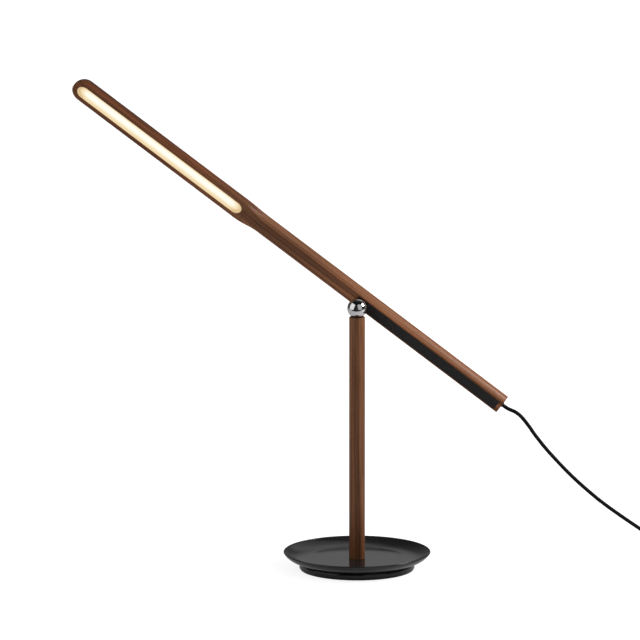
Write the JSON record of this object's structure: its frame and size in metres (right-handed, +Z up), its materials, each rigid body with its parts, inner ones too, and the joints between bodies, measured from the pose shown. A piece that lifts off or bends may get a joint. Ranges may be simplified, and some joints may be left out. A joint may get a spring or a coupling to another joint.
{
  "type": "desk lamp",
  "caption": "Desk lamp with a slim wooden light arm that pans, tilts and rolls on a magnetic ball at the top of a wooden pole, on a round dished base, with a push switch and a cord.",
  "frame": {"origin": "centre of the base's underside, on the table under the pole", "axes": "+Z up along the pole, arm in the XZ plane at rest with the light towards -X and the cord end towards +X, viewer on the -Y side"},
  "size_m": [0.8395, 0.178, 0.592],
  "materials": {
    "charcoal_coat": "satin powder coat",
    "ballast": "raw casting",
    "pad": "matte",
    "steel": "zinc plated",
    "walnut": "oiled satin",
    "brass": "turned",
    "black_metal": "satin",
    "magnet": "nickel plated",
    "chrome": "polished",
    "strip": "fine matte",
    "heat_sink": "satin",
    "board_white": "solder mask",
    "led": "phosphor",
    "diffuser": "frosted, lit warm white",
    "wire_red": "insulation",
    "wire_black": "insulation",
    "sheet": "insulating paper",
    "board_green": "solder mask",
    "components": "moulded",
    "cap": "satin",
    "spring": "wire",
    "cord": "satin",
    "plug": "fine matte",
    "blade": "stamped"
  },
  "bodies": {
    "stand": {"base_dish": "charcoal_coat", "base_weight": "ballast", "base_foot": "charcoal_coat", "base_pad": "pad", "base_bolt": "steel", "base_washer": "steel", "pole": "walnut", "pole_insert": "brass", "swivel_bush": "black_metal", "cord_run": "cord", "cord_coil": "cord", "cord_tie": "plug", "plug_relief": "plug", "plug_body": "plug", "plug_blades": "blade"},
    "swivel": {"swivel_cup": "black_metal", "cup_magnet": "magnet"},
    "ball": {"ball": "chrome"},
    "arm": {"arm": "walnut", "rear_strip": "strip", "strip_screws": "black_metal", "arm_magnet": "magnet", "led_channel": "heat_sink", "led_board": "board_white", "led_chips": "led", "led_diffuser": "diffuser", "led_wire_red": "wire_red", "led_wire_black": "wire_black", "driver_sheet": "sheet", "driver_board": "board_green", "driver_parts": "components", "button_switch": "components", "button_spring": "spring", "balance_weight": "steel", "supply_lead": "cord", "cord_gland": "cord"},
    "button": {"button": "cap"}
  },
  "joints": [
    {"name": "pan", "type": "hinge", "parent": "stand", "child": "swivel", "pos_m": [0, 0, 0.321], "axis": [0, 0, 1], "range_deg": [-90, 90]},
    {"name": "tilt", "type": "hinge", "parent": "swivel", "child": "ball", "pos_m": [0, 0, 0.321], "axis": [0, 1, 0], "range_deg": [-66, 38]},
    {"name": "roll", "type": "hinge", "parent": "ball", "child": "arm", "pos_m": [0, 0, 0.321], "axis": [0.8039, 0, -0.5948], "range_deg": [-30, 120]},
    {"name": "button_press", "type": "slide", "parent": "arm", "child": "button", "axis": [-0.2974, -0.866, -0.4019], "range_m": [0, 0.0008], "stiffness_N_per_m": 600, "springref_m": -0.001, "deforming": ["button_spring"]}
  ]
}
